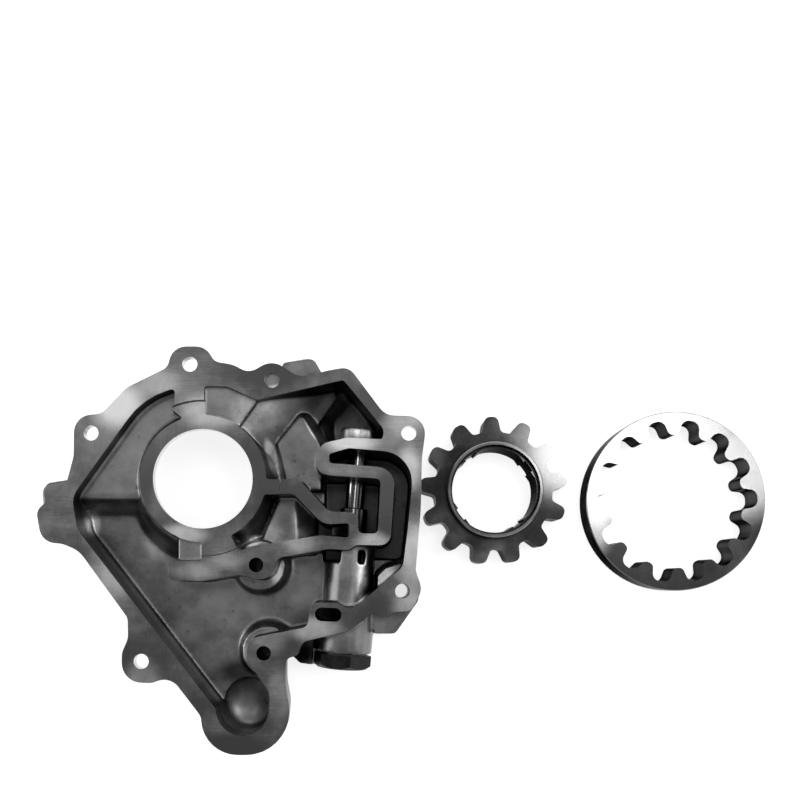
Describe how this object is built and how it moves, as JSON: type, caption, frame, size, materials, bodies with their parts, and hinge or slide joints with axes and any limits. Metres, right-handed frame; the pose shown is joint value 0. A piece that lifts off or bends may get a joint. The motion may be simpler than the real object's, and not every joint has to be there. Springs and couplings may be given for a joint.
{
  "type": "engine oil pump",
  "caption": "Gear-type engine oil pump taken apart: cast housing with open galleries and a relief valve, beside its inner and outer toothed rotors.",
  "frame": {"origin": "on the crank axis, in the front face that the housing lies on", "axes": "+Z along the crank axis into the engine, out of the joint face; +X from the housing towards the rotors; +Y up in the picture"},
  "size_m": [0.3397, 0.184, 0.03],
  "materials": {
    "cast_aluminium": "sand cast, machined on the joint face and the rotor seat",
    "sintered_steel": "sintered, faces ground",
    "ground_steel": "hardened and ground",
    "spring_steel": "drawn wire",
    "dark_plated_steel": "blackened"
  },
  "bodies": {
    "housing": {"housing": "cast_aluminium", "relief_plug": "dark_plated_steel", "plug_washer": "dark_plated_steel", "relief_spring": "spring_steel"},
    "plunger": {"relief_plunger": "ground_steel"},
    "inner": {"inner_rotor": "sintered_steel"},
    "outer": {"outer_rotor": "sintered_steel"}
  },
  "joints": [
    {"name": "relief_slide", "type": "slide", "parent": "housing", "child": "plunger", "axis": [-0.0802, -0.9968, 0], "range_m": [0, 0.008], "stiffness_N_per_m": 7000, "springref_m": -0.006, "deforming": ["relief_spring"]},
    {"name": "inner_rotor_spin", "type": "hinge", "parent": "housing", "child": "inner", "pos_m": [0.1342, -0.0034, 0.006], "axis": [0, 0, 1], "continuous": true},
    {"name": "outer_rotor_spin", "type": "hinge", "parent": "housing", "child": "outer", "pos_m": [0.2206, -0.0084, 0.006], "axis": [0, 0, 1], "continuous": true}
  ]
}
